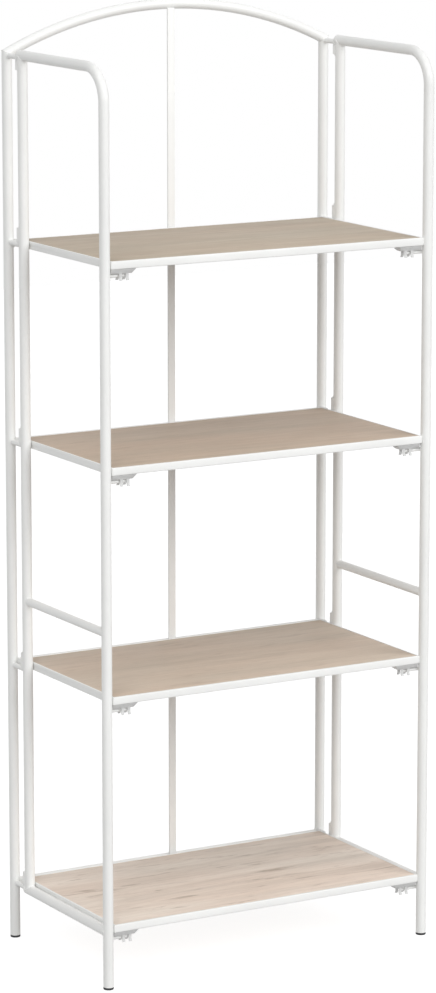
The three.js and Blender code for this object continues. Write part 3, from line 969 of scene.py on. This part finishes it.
# %% [markdown]
# ## Hinge rods
# Four of the five rods are L-shaped: a stub leaves the back post, turns up through a tight elbow and
# ends in its pin. The top one is turned upside down, with its pin pointing down under a round knob. An
# elbow could be a quarter of a torus, but the sweep that bends the hoop bends it as well.

# %% Rods
STUB_R = 4.3 * MM
STUB_BEND_R = 4.6 * MM
STUB_BEND_STEPS = 12
STUB_RISE = 4.7 * MM
KNOB_R = 5.0 * MM
KNOB_BELOW = 4.7 * MM
KNOB_ABOVE = 5 * MM


def hinge_rod(side, height, sleeve_length, seed):
    """An L-shaped rod with its pin pointing up."""
    root = Vector((side * POST_X, BACK_Y, height))
    corner = Vector((side * POST_X, HINGE_Y, height))
    shoulder = corner + UP * STUB_RISE
    elbow = swept(bent(root, corner, shoulder, STUB_BEND_R, STUB_BEND_STEPS), STUB_R, SMALL_STEPS)
    pin = hinge_pin(shoulder, UP, sleeve_length)
    return [elbow, pin, saddle_bead(root, UP, BACK, STUB_R, TUBE_R, seed)]


def top_hinge_rod(side, height, sleeve_length, seed):
    """A straight rod with a knob on its end and its pin pointing down."""
    root = Vector((side * POST_X, BACK_Y, height))
    corner = Vector((side * POST_X, HINGE_Y, height))
    under = corner - UP * KNOB_BELOW
    stub = swept([root, corner], STUB_R, SMALL_STEPS)
    knob_height = KNOB_BELOW + KNOB_ABOVE
    knob = turned(eased([(0, 0), (0, KNOB_R), (knob_height, KNOB_R), (knob_height, 0)]), under, UP)
    pin = hinge_pin(under, -UP, sleeve_length)
    return [stub, knob, pin, saddle_bead(root, UP, BACK, STUB_R, TUBE_R, seed)]


print("an L-shaped rod stands %.0f mm out of its post" % ((BACK_Y - HINGE_Y - TUBE_R) / MM))

# %% [markdown]
# ## Hinge sleeves
# On every pin turns a short sleeve, welded to the rear post along two seams. A boolean could bore it,
# but here the outline of its wall is spun: inner edge, outer edge and back to the start, which leaves
# the bore open for the pin.

# %% Sleeves and hinges
BORE_R = 3.4 * MM
SEAM_INSET = 2 * MM
HINGES = (1, 2, 3, 4, 5)


def hinge_sleeve(side, low, length, seed):
    """A bored sleeve with its two seams."""
    wall = [(0, BORE_R), (0, SLEEVE_R), (length, SLEEVE_R), (length, BORE_R), (0, BORE_R)]
    meshes = [turned(wall, Vector((side * POST_X, HINGE_Y, low)), UP)]
    for edge in (-1, 1):
        foot = Vector((side * POST_X + edge * SLEEVE_R / 2, REAR_Y + TUBE_R, low + SEAM_INSET))
        meshes.append(seam_bead(foot, foot + UP * (length - 2 * SEAM_INSET), seed + edge))
    return meshes


for word, side in SIDES:
    for number in HINGES:
        name = "%s_%d" % (word, number)
        low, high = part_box("hinge_sleeve_" + name)
        length = high.z - low.z
        if number == 1:
            rod = top_hinge_rod(side, high.z + SEAT_GAP + KNOB_BELOW, length, 7)
        else:
            rod = hinge_rod(side, low.z - SEAT_GAP - STUB_RISE, length, 80 + number)
        piece("hinge_rod_" + name, rod)
        piece("hinge_sleeve_" + name, hinge_sleeve(side, low.z, length, 70 + 3 * number))
print("hinges done:", len(made), "pieces so far")

# %% [markdown]
# ## Which edges to round
# Folded steel and moulded nylon have no sharp edges, yet a bevel on every edge would also soften the
# facets of round holes. So an edge is rounded where its faces turn by more than 32 degrees. The outer
# edges of a folded frame are rounder than its inner ones, and they can be told by the node's own box.

# %% Sharp edges and outer edges
SHARP = math.radians(32)
ON_THE_BOX = 0.01 * MM


def is_sharp(edge):
    """True for an edge whose two faces turn by more than the sharp angle."""
    return len(edge.link_faces) == 2 and edge.calc_face_angle() > SHARP


def is_box_edge(edge, low, high):
    """True for an edge that lies in two sides of the box from low to high."""
    sides = 0
    for axis in (X, Y, Z):
        for limit in (low[axis], high[axis]):
            sides += all(abs(vertex.co[axis] - limit) < ON_THE_BOX for vertex in edge.verts)
    return sides > 1


cube = bmesh.new()
bmesh.ops.create_cube(cube, size=2)
cube_corner = Vector((1, 1, 1))
sharp_count = sum(is_sharp(edge) for edge in cube.edges)
outer_count = sum(is_box_edge(edge, -cube_corner, cube_corner) for edge in cube.edges)
print("of a cube's", len(cube.edges), "edges,", sharp_count, "are sharp and", outer_count, "on its box")
cube.free()

# %% [markdown]
# ## Rounding chosen edges
# A folded edge is an arc, and a bevel comes near it with a few narrow strips. A Bevel modifier could make
# them, but the operator takes just the edges it is given. Where edges lie close together it holds back,
# so a rounding may come out smaller than asked. It may also add its faces in another order on each run,
# so they are sorted by their first two corners, and every run ends with the same mesh.


# %% Bevel and sort
def round_off(shape, edges, radius, segments):
    """Bevels the edges to a rounded profile."""
    bmesh.ops.bevel(
        shape, geom=edges, offset=radius, offset_type="OFFSET", segments=segments,
        profile=0.5, affect="EDGES", clamp_overlap=True,
    )


def sort_faces(shape):
    """Sorts the faces by their first two corners, a pair that no two faces share in the same order."""
    shape.verts.index_update()
    count = len(shape.verts)
    shape.faces.sort(key=lambda face: face.verts[0].index * count + face.verts[1].index)
    shape.faces.index_update()


cube = bmesh.new()
bmesh.ops.create_cube(cube, size=TUBE_R)
round_off(cube, cube.edges[:], EDGE, BEVEL_STEPS)
sort_faces(cube)
print("a rounded cube has", len(cube.faces), "faces")
cube.free()

# %% [markdown]
# ## Rounded copies of CAD nodes
# The shelves' frames, boards and clips already have their full form in the CAD model, and only crisp
# edges would give them away. They could be modelled anew, but a copy keeps every hole and notch where
# it is. Its facets are merged back into flat faces first, so that the bevel meets clean edges.

# %% Merge, then round
NEARLY_FLAT = math.radians(2)
SAME_POINT = 0.001 * MM
OUTER_STEPS = 4


def rounded_copy(node, bevel, material, outer=0.0):
    """A copy of a CAD node's mesh with rounded edges, and rounder outer ones if asked."""
    shape = bmesh.new()
    shape.from_mesh(frame["nodes"][node].data)
    bmesh.ops.remove_doubles(shape, verts=shape.verts, dist=SAME_POINT)
    bmesh.ops.dissolve_limit(shape, angle_limit=NEARLY_FLAT, verts=shape.verts, edges=shape.edges)
    if outer > 0:
        low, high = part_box(node)
        outer_edges = [edge for edge in shape.edges if is_box_edge(edge, low, high)]
        round_off(shape, outer_edges, outer, OUTER_STEPS)
    round_off(shape, [edge for edge in shape.edges if is_sharp(edge)], bevel, BEVEL_STEPS)
    sort_faces(shape)
    mesh = bpy.data.meshes.new(node)
    shape.to_mesh(mesh)
    shape.free()
    mesh.materials.clear()
    mesh.materials.append(material)
    return mesh


plain = frame["nodes"]["shelf_board_1"].data
test_board = rounded_copy("shelf_board_1", EDGE, COAT)
print("a board has", len(plain.polygons), "faces in the CAD model and", len(test_board.polygons), "here")
bpy.data.meshes.remove(test_board)

# %% [markdown]
# ## Shelves and clips
# A shelf is a frame of angle bar with a ledge, and an oak board that lies on it. Its front corners end
# in nylon clips that snap over the pegs. All three are rounded copies. Folded steel has rounder outer
# edges than cut steel, which leaves a bright line along each bar's top and a darker one below. A
# clip's front shows as one soft wedge, so the slope under it is drawn up until hardly any upright face
# is left.

# %% Frames, boards and clips
FRAME_EASE = 0.5 * MM
FOLD_R = 1.6 * MM
BOARD_EASE = 0.3 * MM
CLIP_EASE = 0.35 * MM
CLIP_EDGE_DROP = 4.2 * MM
CLIP_EDGE_LIFT = 3.2 * MM
CLIP_EDGE_REACH = 0.8 * MM


def clip_copy(node):
    """A rounded clip whose front slopes in from just under the shelf."""
    low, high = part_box(node)
    mesh = rounded_copy(node, CLIP_EASE, NYLON_WITH_PAINTED_SHADE)
    for vertex in mesh.vertices:
        at_front = vertex.co.y < low.y + CLIP_EDGE_REACH
        at_edge = abs(vertex.co.z - high.z + CLIP_EDGE_DROP) < CLIP_EDGE_REACH
        if at_front and at_edge:
            vertex.co.z += CLIP_EDGE_LIFT
    return mesh


for number in SHELVES:
    name = "shelf_frame_%d" % number
    piece(name, [rounded_copy(name, FRAME_EASE, COAT, FOLD_R)])
    name = "shelf_board_%d" % number
    piece(name, [rounded_copy(name, BOARD_EASE, OAKS_WITH_PAINTED_LIGHT[number])])
    for word, _ in SIDES:
        name = "shelf_clip_%d_%s" % (number, word)
        piece(name, [clip_copy(name)])
print("shelves done:", len(made), "pieces so far")

# %% [markdown]
# ## Feet
# Each leg ends in a rubber foot: a pad as wide as the tube and a stem that presses into it. A cylinder
# would do for the pad, but one turned outline gives pad, stem and eased edges in one closed piece.

# %% Feet
PAD_HEIGHT = TUBE_FOOT - SEAT_GAP
STEM_R = 7.1 * MM
STEM_TOP = PAD_HEIGHT + 20 * MM

for word, side in SIDES:
    for end, y in (("back", BACK_Y), ("front", LEG_Y)):
        outline = [(0, 0), (0, TUBE_R), (PAD_HEIGHT, TUBE_R)]
        outline += [(PAD_HEIGHT, STEM_R), (STEM_TOP, STEM_R), (STEM_TOP, 0)]
        foot = turned(eased(outline), Vector((side * POST_X, y, 0)), UP, RUBBER)
        piece("%s_foot_%s" % (end, word), [foot])
print("all", len(made), "pieces made")

# %% [markdown]
# ## Floor
# The floor is a plain pale sheet, half a millimetre under the feet. A pure white sheet could be lit
# until it shines, but that much light would bleach the bookcase too. So it glows, and to the camera it
# glows most: it fades into the white background and still shows the shadow. The bookcase gets only a
# sixth of that glow, enough to lift the low tubes, as a white studio floor does.

# %% The floor
FLOOR_SIZE = 14
FLOOR_DROP = 0.5 * MM
FLOOR_TONE = 0.4
FLOOR_GLOW = 0.83
FLOOR_BOUNCE = 0.14


def seen_directly(tree):
    """1 for rays from the camera and for mirrored or refracted ones, 0 for all other light."""
    path = tree.nodes.new("ShaderNodeLightPath")
    total = path.outputs["Is Camera Ray"]
    for name in ("Is Glossy Ray", "Is Transmission Ray"):
        either = tree.nodes.new("ShaderNodeMath")
        either.operation = "MAXIMUM"
        tree.links.new(total, either.inputs[0])
        tree.links.new(path.outputs[name], either.inputs[1])
        total = either.outputs["Value"]
    return total


def floor():
    """A sheet that glows to the camera and hardly lights the bookcase."""
    bpy.ops.mesh.primitive_plane_add(size=FLOOR_SIZE, location=(0, 0, -FLOOR_DROP))
    sheet = bpy.context.object
    sheet.name = "floor"
    material, tree, shader = new_material("pale_floor")
    shader.inputs["Base Color"].default_value = (FLOOR_TONE, FLOOR_TONE, FLOOR_TONE, 1)
    shader.inputs["Roughness"].default_value = 0.9
    shader.inputs["Specular IOR Level"].default_value = 0
    shader.inputs["Emission Color"].default_value = (1, 1, 1, 1)
    glow = remap(tree, seen_directly(tree), 0, 1, FLOOR_BOUNCE, FLOOR_GLOW)
    tree.links.new(glow, shader.inputs["Emission Strength"])
    sheet.data.materials.append(material)


floor()
print("the floor glows", FLOOR_GLOW, "to the camera and", FLOOR_BOUNCE, "to the bookcase")

# %% [markdown]
# ## World
# Behind everything lies plain white, as in a catalogue, but a white world at full strength would light
# the bookcase flat. So the world has two strengths: full white for the camera and for mirrored rays, and
# a softer base for all other light.

# %% The world
WORLD_LIGHT = 0.39


def world():
    """White to look at, and a soft even light."""
    studio = bpy.data.worlds.new("studio")
    scene.world = studio
    studio.use_nodes = True
    tree = studio.node_tree
    tree.nodes.clear()
    out = tree.nodes.new("ShaderNodeOutputWorld")
    lit = tree.nodes.new("ShaderNodeBackground")
    lit.inputs["Color"].default_value = (0.98, 0.99, 1, 1)
    lit.inputs["Strength"].default_value = WORLD_LIGHT
    white = tree.nodes.new("ShaderNodeBackground")
    white.inputs["Color"].default_value = (1, 1, 1, 1)
    white.inputs["Strength"].default_value = 1
    blend = tree.nodes.new("ShaderNodeMixShader")
    tree.links.new(seen_directly(tree), blend.inputs["Fac"])
    tree.links.new(lit.outputs["Background"], blend.inputs[1])
    tree.links.new(white.outputs["Background"], blend.inputs[2])
    tree.links.new(blend.outputs["Shader"], out.inputs["Surface"])


world()
print("the world lights with", WORLD_LIGHT)

# %% [markdown]
# ## Lamps
# Faces to the front should be nearly white and the outer edges of the tubes a soft grey, without hot
# spots on the boards. So a large lamp stands at the front right, a weaker one at the front left, and a
# third high on the left for the tops. A close lamp would light the top shelf more than the bottom one,
# so all three stand 18 m away and are large enough to keep the shadows' edges soft.

# %% The lamps
LAMP_DISTANCE = 18.0
LAMP_SIZE = 10.8


def lamp(name, towards, power):
    """A square lamp in the given direction from the bookcase's middle."""
    data = bpy.data.lights.new(name, "AREA")
    data.size = LAMP_SIZE
    data.energy = power
    thing = bpy.data.objects.new(name, data)
    scene.collection.objects.link(thing)
    aim = Vector((0, 0, ARCH_TOP_Z / 2))
    thing.location = aim + Vector(towards).normalized() * LAMP_DISTANCE
    thing.rotation_euler = (aim - thing.location).to_track_quat("-Z", "Y").to_euler()


lamp("key", (0.46, -0.76, 0.44), 1540)
lamp("left_fill", (-0.56, -0.69, 0.44), 980)
lamp("overhead", (-0.4, -0.25, 0.88), 560)

# %% [markdown]
# ## Camera
# The view was fitted to the photo from the feet, the corners of the shelves and the arch. It stands
# about 30 degrees to the left of the front and looks 11 degrees down. A near camera with a wide lens
# would spread the uprights, so it stands nearly 7 m off with a long lens, which keeps them almost
# parallel.

# %% The camera
VIEW_AZIMUTH = math.radians(29.946)
VIEW_PITCH = math.radians(11.106)
VIEW_DISTANCE = 6.72698
VIEW_TARGET = Vector((-3.357, -5, 756.28)) * MM
LENS = 147.58
SENSOR = 36
VIEW_END = 100


def camera():
    """The photo's view."""
    data = bpy.data.cameras.new("camera")
    data.lens = LENS
    data.sensor_width = SENSOR
    data.clip_end = VIEW_END
    thing = bpy.data.objects.new("camera", data)
    scene.collection.objects.link(thing)
    level = math.cos(VIEW_PITCH)
    forward = Vector((math.sin(VIEW_AZIMUTH) * level, math.cos(VIEW_AZIMUTH) * level, -math.sin(VIEW_PITCH)))
    thing.location = VIEW_TARGET - forward * VIEW_DISTANCE
    thing.rotation_mode = "QUATERNION"
    thing.rotation_quaternion = forward.to_track_quat("-Z", "Y")
    scene.camera = thing


camera()
scene.view_settings.view_transform = "Standard"
print("camera at", [round(value, 2) for value in scene.camera.location])
